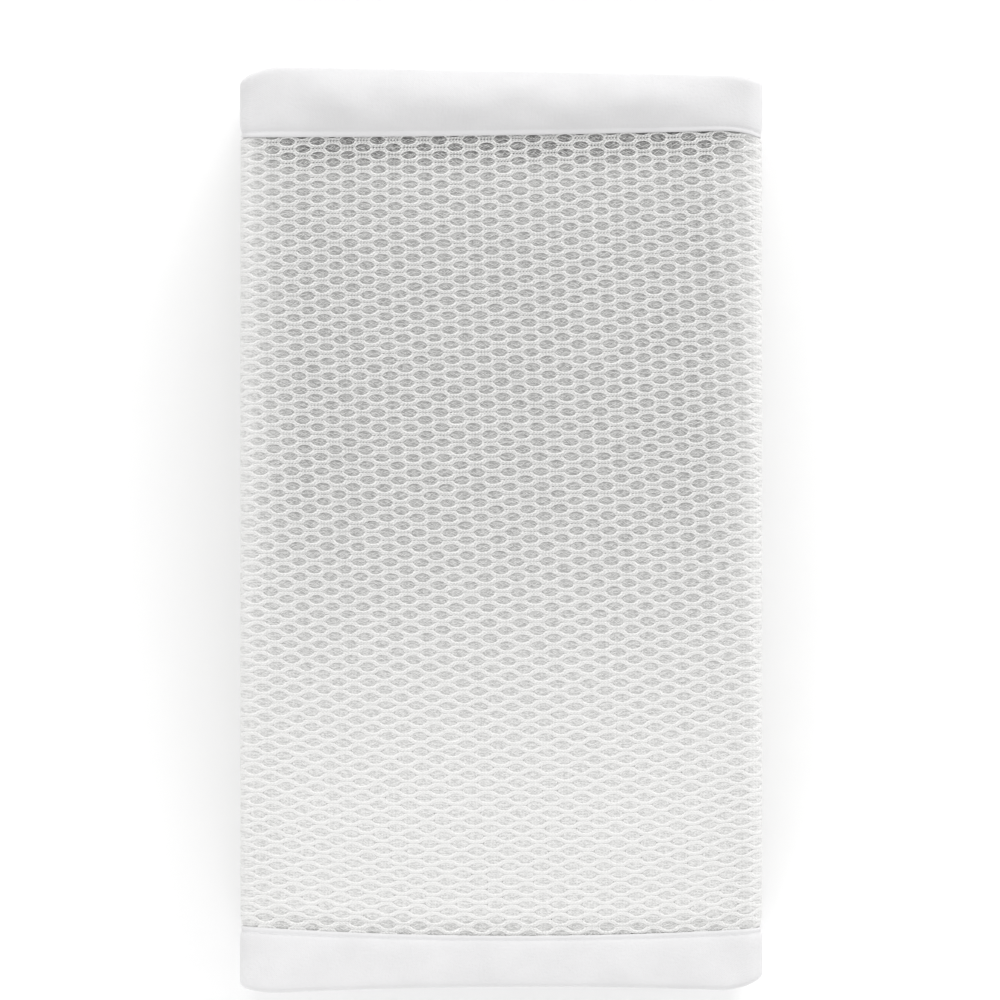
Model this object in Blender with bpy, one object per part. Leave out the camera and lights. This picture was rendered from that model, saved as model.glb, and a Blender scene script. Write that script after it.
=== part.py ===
"""A crib bumper: one long mesh panel with a cloth binding along each long edge.

The panel is folded back and forth into a flat packet that lies on its back.
X runs along the panel's passes, Y across the panel from one binding to the other,
and Z up through the levels of the packet. Lengths are in metres.
"""

import math
from collections import namedtuple

import bmesh
import bpy

# The panel before it is folded
PANEL_LENGTH = 2.820
PANEL_WIDTH = 0.280
BINDING_WIDTH = 0.020

# Thicknesses
MESH_THICK = 0.0020  # the open mesh
EDGE_THICK = 0.0010  # the mesh where a binding squeezes it
WALL = 0.0010  # the binding's cloth
CLEARANCE = 0.0003  # between the mesh and the cloth round it
EDGE_CLEARANCE = 0.0005  # between the mesh's edge and the fold of the binding
BINDING_THICK = EDGE_THICK + 2 * (CLEARANCE + WALL)

# The packet
LEVELS = 18
PITCH = 0.0041  # from one level to the next
HALF_REACH = 0.080  # from the middle to the outermost fold
HEIGHT = (LEVELS - 1) * PITCH + BINDING_THICK
FLAP_END = 0.070  # the end tucked in under the top pass

# How soft the packet is
SINK = 0.0008  # the mesh lies this far below the middle of its bindings at the bottom
PUFF = 0.0024  # and rises by this from there to the top
CROWN = 0.0025  # the middle of the top level above its edges
SWELL = 0.0007  # the mesh stands out this far more at the folds
SWELL_FROM = 0.060
LEAN_POWER = 1.5  # the uneven outline fades from the top level down
CORNER_FROM = 0.067

# Steps along the cloth
RUN_STEPS = 4
TOP_RUN_STEPS = 7
FOLD_STEPS = 6
TOP_FOLD_STEPS = 8

# Across the panel, as distances from its middle
CROWN_LINE = 0.045  # a line of points that rounds the packet's crown
FIELD_END = 0.112  # the open mesh thins out from here
TAPER_END = 0.118  # to here, just before the binding
NOSE_STEPS = 2  # in a quarter of the binding's round fold
SHARP_ANGLE = math.radians(50)

# Each fold, in the order in which the cloth runs through them: its side (-1 left,
# 1 right), the levels that it joins, how far it stops short of HALF_REACH, and how far
# the cloth has slipped along Y there.
Fold = namedtuple("Fold", "side start end short slip")
FOLDS = (
    Fold(side=-1, start=2, end=1, short=0.0002, slip=0.0),
    Fold(side=1, start=1, end=3, short=0.0, slip=0.0),
    Fold(side=-1, start=3, end=4, short=0.0013, slip=-0.0005),
    Fold(side=1, start=4, end=5, short=0.0010, slip=0.0004),
    Fold(side=-1, start=5, end=6, short=0.0005, slip=0.0010),
    Fold(side=1, start=6, end=7, short=0.0016, slip=0.0003),
    Fold(side=-1, start=7, end=8, short=0.0011, slip=-0.0008),
    Fold(side=1, start=8, end=9, short=0.0004, slip=-0.0012),
    Fold(side=-1, start=9, end=10, short=0.0, slip=-0.0004),
    Fold(side=1, start=10, end=11, short=0.0012, slip=0.0006),
    Fold(side=-1, start=11, end=12, short=0.0015, slip=0.0011),
    Fold(side=1, start=12, end=13, short=0.0002, slip=0.0005),
    Fold(side=-1, start=13, end=14, short=0.0007, slip=-0.0003),
    Fold(side=1, start=14, end=15, short=0.0014, slip=-0.0010),
    Fold(side=-1, start=15, end=16, short=0.0003, slip=-0.0006),
    Fold(side=1, start=16, end=17, short=0.0008, slip=0.0004),
    Fold(side=-1, start=17, end=18, short=0.0010, slip=0.0),
)

# The lines along the cloth on the top level: where each lies on the straight panel,
# and how far it has moved along Y: everywhere, more at +X than at -X, more in the
# middle, and at the two corners.
Line = namedtuple("Line", "rest shift lean bow left_corner right_corner")
LINES = (
    Line(rest=-0.14, shift=-0.0006, lean=0.0005, bow=0.0020, left_corner=0.0025, right_corner=0.0045),
    Line(rest=-0.12, shift=-0.0010, lean=-0.0003, bow=-0.0027, left_corner=0.0, right_corner=0.0),
    Line(rest=0.12, shift=0.0010, lean=0.0012, bow=-0.0006, left_corner=0.0, right_corner=0.0),
    Line(rest=0.14, shift=0.0, lean=-0.0015, bow=0.0, left_corner=-0.0045, right_corner=-0.0015),
)

Station = namedtuple("Station", "x z normal_x normal_z slip")
Finish = namedtuple("Finish", "color roughness metallic")
MESH_FINISH = Finish(color=(0.83, 0.83, 0.82, 1.0), roughness=0.85, metallic=0.0)
BINDING_FINISH = Finish(color=(0.88, 0.88, 0.89, 1.0), roughness=0.75, metallic=0.0)


def clear_scene():
    for item in list(bpy.data.objects):
        bpy.data.objects.remove(item, do_unlink=True)


def ramp(value, start, end):
    """Goes smoothly from 0 at start to 1 at end."""
    share = min(max((value - start) / (end - start), 0.0), 1.0)
    return share * share * (3 - 2 * share)


def level_height(level):
    """The middle of a level's cloth. Level 1 is the top one."""
    return BINDING_THICK / 2 + (LEVELS - level) * PITCH


def fold_centre(fold):
    """The middle of a fold's arc and the arc's radius."""
    radius = abs(level_height(fold.start) - level_height(fold.end)) / 2
    reach = HALF_REACH - fold.short - BINDING_THICK / 2 - radius
    middle = (level_height(fold.start) + level_height(fold.end)) / 2
    return fold.side * reach, middle, radius


def fold_stations(fold):
    """Half a turn from the fold's first level to its second one."""
    x, z, radius = fold_centre(fold)
    falling = 1 if fold.end > fold.start else -1
    outward = fold.side * falling  # 1 where the face of the cloth is outside
    steps = TOP_FOLD_STEPS if min(fold.start, fold.end) == 1 else FOLD_STEPS
    stations = []
    for step in range(steps + 1):
        angle = falling * math.pi / 2 - outward * math.pi * step / steps
        cosine, sine = math.cos(angle), math.sin(angle)
        stations.append(
            Station(
                x + radius * cosine,
                z + radius * sine,
                outward * cosine,
                outward * sine,
                fold.slip,
            )
        )
    return stations


def run_stations(start, end, steps):
    """The stations between two others on one level, closer together near the folds."""
    stations = []
    for step in range(1, steps):
        share = step / steps
        share -= math.sin(2 * math.pi * share) / (4 * math.pi)
        stations.append(
            Station(
                start.x + share * (end.x - start.x),
                start.z,
                0.0,
                start.normal_z,
                start.slip + share * (end.slip - start.slip),
            )
        )
    return stations


def path_length(stations):
    pairs = zip(stations, stations[1:])
    return sum(math.dist((a.x, a.z), (b.x, b.z)) for a, b in pairs)


def panel_path():
    """The whole panel's stations, from the tucked end to the bottom level's end."""
    path = [Station(FLAP_END, level_height(2), 0.0, -1.0, FOLDS[0].slip)]
    for fold in FOLDS:
        turn = fold_stations(fold)
        steps = TOP_RUN_STEPS if fold.start == 1 else RUN_STEPS
        path += run_stations(path[-1], turn[0], steps)
        path += turn
    last = path[-1]
    end = last._replace(x=last.x + PANEL_LENGTH - path_length(path))
    path += run_stations(last, end, RUN_STEPS)
    path.append(end)
    return path


def line_shift(line, x):
    """How far a line of the top level has moved along Y."""
    share = x / HALF_REACH
    corner = max(abs(x) - CORNER_FROM, 0.0) / (HALF_REACH - CORNER_FROM)
    pull = line.right_corner if x > 0 else line.left_corner
    middle = line.bow * (1 - share * share)
    return line.shift + line.lean * share + middle + pull * corner * corner


def row_shift(x, y):
    """The shift of a point of the top level, worked out from the lines beside it."""
    below, above = next(
        ((a, b) for a, b in zip(LINES, LINES[1:]) if y <= b.rest), LINES[-2:]
    )
    share = (y - below.rest) / (above.rest - below.rest)
    low, high = line_shift(below, x), line_shift(above, x)
    return low + share * (high - low)


def settled(station, y, lift):
    """Where a point of the cloth lies in the settled packet, for its place across the
    panel and its height over the cloth's middle."""
    x = station.x + lift * station.normal_x
    z = station.z + lift * station.normal_z
    height = max(z, 0.0) / HEIGHT
    field = 1 - ramp(abs(y), FIELD_END, TAPER_END)
    swell = SWELL * field * ramp(abs(x), SWELL_FROM, HALF_REACH)
    puff = PUFF * (z - SINK) / (HEIGHT - SINK) - SINK
    hump = (1 - (x / HALF_REACH) ** 2) * (1 - (2 * y / PANEL_WIDTH) ** 2)
    return (
        x + math.copysign(swell, x),
        y + station.slip + height**LEAN_POWER * row_shift(x, y),
        z + field * puff + CROWN * height * height * hump,
    )


def swept(name, path, ribs):
    """A closed sheet along the path. Each rib is a pair of points on the sheet's two
    faces, as (y, height over the cloth's middle), and may share one with the next."""
    points = [rib[0] for rib in ribs] + [rib[1] for rib in reversed(ribs)]
    outline = list(dict.fromkeys(points))
    shape = bmesh.new()
    rings = []
    for station in path:
        ring = {}
        for y, lift in outline:
            ring[y, lift] = shape.verts.new(settled(station, y, lift))
        rings.append(ring)
    for ring, after in zip(rings, rings[1:]):
        for here, beside in zip(outline, outline[1:] + outline[:1]):
            shape.faces.new((ring[here], after[here], after[beside], ring[beside]))
    for ring in (rings[0], rings[-1]):
        for rib, beside in zip(ribs, ribs[1:]):
            corners = dict.fromkeys((rib[0], beside[0], beside[1], rib[1]))
            shape.faces.new([ring[corner] for corner in corners])
    bmesh.ops.recalc_face_normals(shape, faces=shape.faces)
    data = bpy.data.meshes.new(name)
    shape.to_mesh(data)
    shape.free()
    data.shade_smooth()
    data.set_sharp_from_angle(angle=SHARP_ANGLE)
    item = bpy.data.objects.new(name, data)
    bpy.context.collection.objects.link(item)
    return item


def finish(item, look):
    material = bpy.data.materials.new(item.name)
    material.use_nodes = True
    shader = material.node_tree.nodes["Principled BSDF"]
    shader.inputs["Base Color"].default_value = look.color
    shader.inputs["Roughness"].default_value = look.roughness
    shader.inputs["Metallic"].default_value = look.metallic
    item.data.materials.append(material)


def mesh_ribs():
    """Across the panel: thin inside the bindings, thick between them."""
    edge = PANEL_WIDTH / 2 - WALL - EDGE_CLEARANCE
    half = [
        (edge, EDGE_THICK / 2),
        (TAPER_END, EDGE_THICK / 2),
        (FIELD_END, MESH_THICK / 2),
        (CROWN_LINE, MESH_THICK / 2),
    ]
    whole = half + [(-y, lift) for y, lift in reversed(half)]
    return [((y, lift), (y, -lift)) for y, lift in whole]


def binding_ribs(side):
    """Round a narrow U that holds the panel's edge and is open towards the middle."""
    outer, inner = BINDING_THICK / 2, EDGE_THICK / 2 + CLEARANCE
    edge, root = PANEL_WIDTH / 2, PANEL_WIDTH / 2 - BINDING_WIDTH
    upper = [(root, outer, root)]
    for step in range(NOSE_STEPS + 1):
        angle = math.pi / 2 * (1 - step / NOSE_STEPS)
        y = edge - outer * (1 - math.cos(angle))
        upper.append((y, outer * math.sin(angle), edge - WALL))
    ribs = [((side * y, lift), (side * deep, inner)) for y, lift, deep in upper]
    lower = [((side * y, -lift), (side * deep, -inner)) for y, lift, deep in upper[:-1]]
    return ribs + lower[::-1]


def main():
    clear_scene()
    path = panel_path()
    finish(swept("mesh_panel", path, mesh_ribs()), MESH_FINISH)
    finish(swept("binding_top", path, binding_ribs(1)), BINDING_FINISH)
    finish(swept("binding_bottom", path, binding_ribs(-1)), BINDING_FINISH)


main()
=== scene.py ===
"""The looks of a crib bumper, folded back and forth into a flat packet on its back.

The panel is a knitted spacer mesh: a net of zigzag chains over a finer back layer.
A strip of smooth cloth binds each long edge and is top-stitched near its inner edge.
X runs along the panel's passes, Y across the panel and Z up. Lengths are in metres.
"""

import math
from collections import namedtuple

import bpy
import numpy as np
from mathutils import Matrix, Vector


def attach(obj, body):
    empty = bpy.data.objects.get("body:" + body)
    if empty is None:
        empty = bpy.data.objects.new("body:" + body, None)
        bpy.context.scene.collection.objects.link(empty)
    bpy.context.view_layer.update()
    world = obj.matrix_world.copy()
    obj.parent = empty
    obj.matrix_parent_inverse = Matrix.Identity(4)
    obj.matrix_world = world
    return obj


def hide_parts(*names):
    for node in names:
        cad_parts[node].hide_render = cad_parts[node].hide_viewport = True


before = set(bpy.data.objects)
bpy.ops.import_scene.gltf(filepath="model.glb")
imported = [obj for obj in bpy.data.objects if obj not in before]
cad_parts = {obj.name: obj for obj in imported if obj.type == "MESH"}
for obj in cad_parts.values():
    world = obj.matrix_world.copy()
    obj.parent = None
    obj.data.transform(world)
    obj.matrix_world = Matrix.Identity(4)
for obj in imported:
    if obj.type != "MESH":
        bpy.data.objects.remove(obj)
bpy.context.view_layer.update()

MM = 0.001

# The panel before it is folded
PANEL_LENGTH = 2.820
PANEL_WIDTH = 0.280
BINDING_WIDTH = 0.020

# Thicknesses
MESH_THICK = 0.0020  # the open mesh
EDGE_THICK = 0.0010  # the mesh where a binding squeezes it
WALL = 0.0010  # the binding's cloth
CLEARANCE = 0.0003  # between the mesh and the cloth round it
BINDING_THICK = EDGE_THICK + 2 * (CLEARANCE + WALL)
BINDING_INSIDE = EDGE_THICK / 2 + CLEARANCE

# The packet
LEVELS = 18
PITCH = 0.0041  # from one level to the next
HALF_REACH = 0.080  # from the middle to the outermost fold
HEIGHT = (LEVELS - 1) * PITCH + BINDING_THICK
FLAP_END = 0.070  # the end tucked in under the top pass

# How soft the packet is
SINK = 0.0008  # the mesh lies this far below the middle of its bindings at the bottom
PUFF = 0.0024  # and rises by this from there to the top
CROWN = 0.0025  # the middle of the top level above its edges
SWELL = 0.0007  # the mesh stands out this far more at the folds
SWELL_FROM = 0.060
LEAN_POWER = 1.5  # the uneven outline fades from the top level down
CORNER_FROM = 0.067
PUFF_FROM = 0.085  # the mesh comes down to the bindings from here
FIELD_END = 0.1192  # it thins out from here towards the upper binding
LOW_FIELD_END = 0.1150  # and from here towards the lower one
TAPER_END = 0.1200  # and it is at its thinnest from here on, in the binding

# Steps along the cloth
RUN_STEPS = 6
TOP_RUN_STEPS = 48
FOLD_STEPS = 10
TOP_FOLD_STEPS = 20

Fold = namedtuple("Fold", "side start end short slip")
FOLDS = (
    Fold(side=-1, start=2, end=1, short=0.0002, slip=0.0),
    Fold(side=1, start=1, end=3, short=0.0, slip=0.0),
    Fold(side=-1, start=3, end=4, short=0.0013, slip=-0.0005),
    Fold(side=1, start=4, end=5, short=0.0010, slip=0.0004),
    Fold(side=-1, start=5, end=6, short=0.0005, slip=0.0010),
    Fold(side=1, start=6, end=7, short=0.0016, slip=0.0003),
    Fold(side=-1, start=7, end=8, short=0.0011, slip=-0.0008),
    Fold(side=1, start=8, end=9, short=0.0004, slip=-0.0012),
    Fold(side=-1, start=9, end=10, short=0.0, slip=-0.0004),
    Fold(side=1, start=10, end=11, short=0.0012, slip=0.0006),
    Fold(side=-1, start=11, end=12, short=0.0015, slip=0.0011),
    Fold(side=1, start=12, end=13, short=0.0002, slip=0.0005),
    Fold(side=-1, start=13, end=14, short=0.0007, slip=-0.0003),
    Fold(side=1, start=14, end=15, short=0.0014, slip=-0.0010),
    Fold(side=-1, start=15, end=16, short=0.0003, slip=-0.0006),
    Fold(side=1, start=16, end=17, short=0.0008, slip=0.0004),
    Fold(side=-1, start=17, end=18, short=0.0010, slip=0.0),
)

# The lines along the cloth on the top level: where each lies on the straight panel,
# and how far it has moved along Y: everywhere, more at +X than at -X, more in the
# middle, and at the two corners.
Line = namedtuple("Line", "rest shift lean bow left_corner right_corner")
LINES = (
    Line(rest=-0.14, shift=-0.0016, lean=0.0005, bow=0.0020, left_corner=0.0025, right_corner=0.0045),
    Line(rest=-0.12, shift=-0.0013, lean=-0.0003, bow=-0.0027, left_corner=0.0, right_corner=0.0),
    Line(rest=0.12, shift=0.0010, lean=0.0012, bow=-0.0006, left_corner=0.0, right_corner=-0.0028),
    Line(rest=0.14, shift=0.0, lean=-0.0015, bow=0.0, left_corner=-0.0045, right_corner=-0.0015),
)

# The net: rows of lens-shaped holes, every other row half a repeat further along
HOLE_PITCH = 0.00942  # along the cloth
HOLE_START = -0.00935  # the place along the top pass of one hole in the first row
HOLE_HALF_HEIGHT = 0.00120
HOLE_POWER = 0.7  # how full the lens is: 1 is a parabola, and less is fuller
HOLE_SPREAD = 0.10  # the holes differ by this share
PORE_HALF_HEIGHT = 0.00017  # the pores in the bonds between two holes
PORES_BEYOND = 1.2  # in half holes from a hole's middle
FIRST_ROW = 0.1191  # the first row that shows below the upper binding
ROW_PITCH_TOP = 0.00221
ROW_PITCH_BOTTOM = 0.00234
NET_EDGE = 0.1245  # the net runs in under the bindings to here
NET_LEAST = 0.75  # the share of its height that it keeps there, as does the back layer
COLUMN_LEAN = 0.0714  # the columns of holes lean towards +X on the way down
MIDDLE_STRETCH = 0.0006  # the repeats are longer in the middle of the pass
STRETCH_SAMPLES = 20001
RIGHT_RISE = 0.0012  # the lower rows turn up near the fold at +X
RIGHT_RISE_FROM = 0.050
RIGHT_RISE_FADE = (-0.02, 0.04)  # across the panel, from all of it to none

# How far the net is pulled out of true on the top pass, in mm: at the fold at -X, in
# the middle and at the fold at +X, along the pass and across it
Drift = namedtuple("Drift", "rest along across")
DRIFTS = (
    Drift(rest=-0.1200, along=(0.95, 0.67, 0.63), across=(3.15, 2.14, 2.50)),
    Drift(rest=-0.1144, along=(0.95, 0.67, 0.63), across=(2.93, 1.86, 2.23)),
    Drift(rest=-0.1022, along=(1.31, 1.02, 0.72), across=(2.66, 1.47, 2.07)),
    Drift(rest=-0.0809, along=(1.33, 0.52, 1.25), across=(0.81, 1.36, 0.29)),
    Drift(rest=0.0707, along=(-0.53, -0.66, 1.41), across=(-0.56, 0.11, -0.05)),
    Drift(rest=0.0930, along=(-0.54, -0.38, 0.69), across=(0.05, -0.45, -0.37)),
    Drift(rest=0.1158, along=(1.36, 0.13, 0.48), across=(-0.87, -0.15, -0.95)),
)
DRIFT_REACH = 1.05  # in half reaches: further out the drift stays the same

# Soft waves in the net's rows. The two ripples are multiplied.
Wave = namedtuple("Wave", "height along across")
NET_WAVES = (
    Wave(height=0.00014, along=0.011, across=0.019),
    Wave(height=0.00012, along=0.023, across=-0.013),
)
NET_RIPPLES = (
    Wave(height=0.00006, along=0.0036, across=-0.0047),
    Wave(height=1.0, along=0.0029, across=0.0031),
)

# The chains between the rows
CORD_OFFSET = 0.00031  # the two raised cords of a chain, each side of its middle
CORD_BEAD = 0.12  # the cords' loops rise and dip by this share, and are painted darker by it where they dip
BEAD_CHANCE = 0.5  # and differ by this share of that
BEAD_STRIDE = 7  # steps through the chances, so that beads and waver don't agree
CORD_WAVER = 0.00005  # and sway by up to this across the panel
BOND_OVERLAP = 0.00013  # how far the edges of bonded chains run into each other
CHAINS_PER_PIECE = 36
CHANCES_PER_ROW = 61
NET_SEED = 5

# How finely the net is made: steps in a repeat, steps from a hole's middle to its
# pointed end, and how far it runs on past a fold
Detail = namedtuple("Detail", "repeat half_hole run_on")
FINE = Detail(repeat=20, half_hole=5.2, run_on=0.005)
COARSE = Detail(repeat=10, half_hole=2.6, run_on=0.004)

# The places across a chain: height as a share of half the mesh's thickness where the
# mesh is open, nearer to 1 where it is closed, and a tone from 0 to 1 that is painted
# shade: darkest at the keel, in dips and pores, lightest on the cords
Place = namedtuple("Place", "height tone")
CORD = Place(height=1.0, tone=1.0)  # on the side of a hole
DULL_CORD = Place(height=0.90, tone=0.50)  # on the side of a bond
DIP = Place(height=0.70, tone=0.32)
HOLE_EDGE = Place(height=-0.10, tone=0.75)
BOND_EDGE = Place(height=0.50, tone=0.90)
PORE_EDGE = Place(height=0.35, tone=0.35)
KEEL = Place(height=-0.40, tone=0.0)

# How open the mesh looks: most at the upper binding, least low down
OPEN_BOTTOM = 0.12
OPEN_TOP = 0.62
OPEN_FROM, OPEN_TO = -0.100, 0.030
OPEN_MORE = 0.45  # in the first rows below the upper binding: deeper holes and painted shadow of the binding
OPEN_MORE_FROM, OPEN_MORE_TO = 0.108, 0.118
OPEN_LAST = 0.25  # in the last rows above the lower one
OPEN_LAST_FROM, OPEN_LAST_TO = 0.1140, 0.1175
OPEN_FOLDS = 0.24  # towards the folds
OPEN_FOLDS_FROM, OPEN_FOLDS_TO = 0.060, 0.084
CLOSED_FROM = 0.073  # the mesh closes from here to the fold's own outer side
PORES_FADE = (0.10, 0.90)  # how open it looks with no pores and with whole ones

# The share of a chain's relief that is left where the mesh looks closed
RELIEF_LEAST = 0.06

# The spacer yarns that cross each hole
YARNS_PER_HOLE = 6
YARN_SPREAD = 0.54  # the share of a repeat over which they lie
YARN_RADIUS = 0.00009
YARN_SIDES = 3
YARN_SUNK = 0.6  # of their radius, where the mesh looks closed
YARN_CLIMB = 0.4  # from one end to the other, as a share of the room up to the net
YARN_RUN = (0.0009, 0.0019)  # along the cloth, least and most
YARN_RISE = (0.0005, 0.0010)  # across it
YARN_JITTER = 0.08  # along the cloth, as a share of their spread
YARN_JITTER_ACROSS = 0.0003
YARN_SEED = 11

# The back layer, as shares of half the mesh's thickness
BACK_OUTSIDE = -1.0
BACK_INSIDE_OPEN = 0.38
BACK_INSIDE_CLOSED = 0.97

# The back layer's ribs on each side of the panel's middle
Ribs = namedtuple("Ribs", "first last count")
BACK_RIBS = (
    Ribs(first=0.0, last=0.0800, count=8),
    Ribs(first=PUFF_FROM, last=LOW_FIELD_END, count=9),
    Ribs(first=0.1172, last=FIELD_END, count=2),
    Ribs(first=0.1196, last=TAPER_END, count=2),
    Ribs(first=0.1250, last=0.1385, count=3),
)

# The bindings on the top pass
BINDING_LOFT = {1: 0.0039, -1: 0.0003}  # how far each swells, for its side
BINDING_PEAK = 1.3  # above 1 it swells most in its outer half
BINDING_WAVE = {1: 0.00030, -1: 0.00006}  # and how uneven it is
LOFT_BEFORE, LOFT_AFTER = 0.002, 0.030  # it starts before a fold's end, whole after it
LOFT_MARGIN = 0.001  # and ends this far from the panel's edge
EDGE_ROUND = 0.0005  # the rounding of its inner edge
ROOT_SINK = 0.00035  # how much lower it lies near its inner edge
ROOT_SINK_FROM, ROOT_SINK_TO = 0.005, 0.001
NOSE_STEPS = 4
# The ribs' places from the inner edge, in mm
BINDING_RIBS = (0.0, 0.12, 0.35, 0.7, 1.1, 1.4, 1.7, 2.0, 2.3, 3.0, 4.0, 5.5, 8.0, 11.0, 14.0, 16.6)

# The binding's waves: slanting ones, patches of them and wide crossing ones. Their
# lengths here and in the net are those of one radian.
SLANT_LENGTH, SLANT_LEAN = 0.0052, 1.7
PATCH_ALONG, PATCH_ACROSS, PATCH_START = 0.0034, 0.0021, 2.0
CROSS_ALONG, CROSS_ACROSS, CROSS_SHARE = 0.0083, 0.0030, 0.8

# Where faces lie in a piece's map, which is a unit square
HIDDEN_ROOM = 0.04  # the share of its room that a hidden stretch keeps
BACK_ROOM = 0.47  # what a sheet's outer side takes of the height
BINDING_ROOM = 0.85
SIDES_GAP = 0.005  # between a sheet's outer and inner side
INNER_END = 0.94
SIDES_END = 0.95  # the sides of a tube or sheet end here, across it
TUBE_ENDS = (0.0, 0.98)  # and a tube's run from here to here, along it
YARN_ENDS = (0.1, 0.9)
SHEET_END_LOW, SHEET_END_HIGH, SHEET_END_SHARE = 0.96, 0.975, 0.9
CAP_CENTRE, CAP_RADII = (0.01, 0.975), (0.005, 0.012)
NEXT_END = 0.02  # from one end of a tube or sheet to its other end

# The top-stitching
SEAM_INSET = 0.0017  # from the binding's inner edge
SEAM_DEPTH = 0.00026
SEAM_HALF_WIDTH = 0.0005
STITCH_PITCH = 0.0030
STITCH_LENGTH = 0.0025
STITCH_RADIUS = 0.00014
STITCH_LIFT = 0.4  # of their radius, over the groove they pull
STITCH_SHAPE = ((0.0, 0.3), (0.12, 0.8), (0.5, 0.8), (0.88, 0.8), (1.0, 0.3))
STITCH_SIDES = 6

Station = namedtuple("Station", "x z normal_x normal_z slip")
Span = namedtuple("Span", "start end face")


def ramp(value, start, end):
    """Goes smoothly from 0 at start to 1 at end."""
    share = np.clip((value - start) / (end - start), 0.0, 1.0)
    return share * share * (3 - 2 * share)


# --- The folded path -----------------------------------------------------------------


def level_height(level):
    """The middle of a level's cloth. Level 1 is the top one."""
    return BINDING_THICK / 2 + (LEVELS - level) * PITCH


def fold_centre(fold):
    """The middle of a fold's arc and the arc's radius."""
    radius = abs(level_height(fold.start) - level_height(fold.end)) / 2
    reach = HALF_REACH - fold.short - BINDING_THICK / 2 - radius
    middle = (level_height(fold.start) + level_height(fold.end)) / 2
    return fold.side * reach, middle, radius


def outward_face(fold):
    """1 where the face of the cloth is outside a fold, and -1 where its back is."""
    return fold.side * (1 if fold.end > fold.start else -1)


def fold_stations(fold):
    """Half a turn from the fold's first level to its second one."""
    x, z, radius = fold_centre(fold)
    falling = 1 if fold.end > fold.start else -1
    outward = outward_face(fold)
    steps = TOP_FOLD_STEPS if min(fold.start, fold.end) == 1 else FOLD_STEPS
    stations = []
    for step in range(steps + 1):
        angle = falling * math.pi / 2 - outward * math.pi * step / steps
        cosine, sine = math.cos(angle), math.sin(angle)
        place = x + radius * cosine, z + radius * sine
        stations.append(Station(*place, outward * cosine, outward * sine, fold.slip))
    return stations


def run_stations(start, end, steps):
    """The stations between two others on one level."""
    stations = []
    for step in range(1, steps):
        share = step / steps
        x = start.x + share * (end.x - start.x)
        slip = start.slip + share * (end.slip - start.slip)
        stations.append(Station(x, start.z, 0.0, start.normal_z, slip))
    return stations


def path_length(stations):
    pairs = zip(stations, stations[1:])
    return sum(math.dist((a.x, a.z), (b.x, b.z)) for a, b in pairs)


def panel_path():
    """The whole panel's stations, and each fold's start and end along the panel."""
    path = [Station(FLAP_END, level_height(2), 0.0, -1.0, FOLDS[0].slip)]
    turns = []
    for fold in FOLDS:
        turn = fold_stations(fold)
        steps = TOP_RUN_STEPS if fold.start == 1 else RUN_STEPS
        path += run_stations(path[-1], turn[0], steps)
        start = path_length(path + turn[:1])
        path += turn
        turns.append(Span(start, path_length(path), outward_face(fold)))
    last = path[-1]
    end = last._replace(x=last.x + PANEL_LENGTH - path_length(path))
    path += run_stations(last, end, RUN_STEPS)
    path.append(end)
    return path, turns


PATH, TURNS = panel_path()
PATH_ARRAY = np.array(PATH)
PATH_LENGTHS = np.concatenate(
    ([0.0], np.cumsum(np.hypot(*np.diff(PATH_ARRAY[:, :2], axis=0).T)))
)
TOP_MIDDLE = (TURNS[0].end + TURNS[1].start) / 2
TOP_MIDDLE -= np.interp(TOP_MIDDLE, PATH_LENGTHS, PATH_ARRAY[:, 0])


# --- The settled packet --------------------------------------------------------------


def line_shift(line, x):
    """How far a line of the top level has moved along Y."""
    share = x / HALF_REACH
    corner = np.maximum(np.abs(x) - CORNER_FROM, 0.0) / (HALF_REACH - CORNER_FROM)
    pull = np.where(x > 0, line.right_corner, line.left_corner)
    middle = line.bow * (1 - share * share)
    return line.shift + line.lean * share + middle + pull * corner * corner


def row_shift(x, y):
    """The shift of a point of the top level, worked out from the lines beside it."""
    total = line_shift(LINES[0], x)
    for below, above in zip(LINES, LINES[1:]):
        share = np.clip((y - below.rest) / (above.rest - below.rest), 0.0, 1.0)
        total = total + share * (line_shift(above, x) - line_shift(below, x))
    return total


def laid(length, y, lift):
    """Where points of the cloth lie in the settled packet, for their place along and
    across the panel and their height over the cloth's middle."""
    x, z, normal_x, normal_z, slip = (
        np.interp(length, PATH_LENGTHS, column) for column in PATH_ARRAY.T
    )
    x = x + lift * normal_x
    z = z + lift * normal_z
    height = np.maximum(z, 0.0) / HEIGHT
    field = 1 - ramp(np.abs(y), FIELD_END, TAPER_END)
    swell = SWELL * field * ramp(np.abs(x), SWELL_FROM, HALF_REACH)
    puff = (PUFF * (z - SINK) / (HEIGHT - SINK) - SINK) * (
        1 - ramp(np.abs(y), PUFF_FROM, TAPER_END)
    )
    hump = (1 - (x / HALF_REACH) ** 2) * (1 - (2 * y / PANEL_WIDTH) ** 2)
    return np.stack(
        (
            x + np.copysign(swell, x),
            y + slip + height**LEAN_POWER * row_shift(x, y),
            z + puff + CROWN * height * height * hump,
        ),
        axis=-1,
    )


def openness(length, y):
    """How open the mesh looks at a place on the cloth. It sets the relief and the depth
    of the holes, and how dark the painted shade of the net and the back layer is.
    """
    x = np.interp(length, PATH_LENGTHS, PATH_ARRAY[:, 0])
    share = OPEN_BOTTOM + (OPEN_TOP - OPEN_BOTTOM) * ramp(y, OPEN_FROM, OPEN_TO)
    share = share + OPEN_MORE * ramp(y, OPEN_MORE_FROM, OPEN_MORE_TO)
    share = share + OPEN_LAST * ramp(-y, OPEN_LAST_FROM, OPEN_LAST_TO)
    near_folds = ramp(np.abs(x), OPEN_FOLDS_FROM, OPEN_FOLDS_TO)
    share = share + (OPEN_FOLDS - share) * near_folds
    return share * (1 - ramp(np.abs(x), CLOSED_FROM, HALF_REACH))


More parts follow.
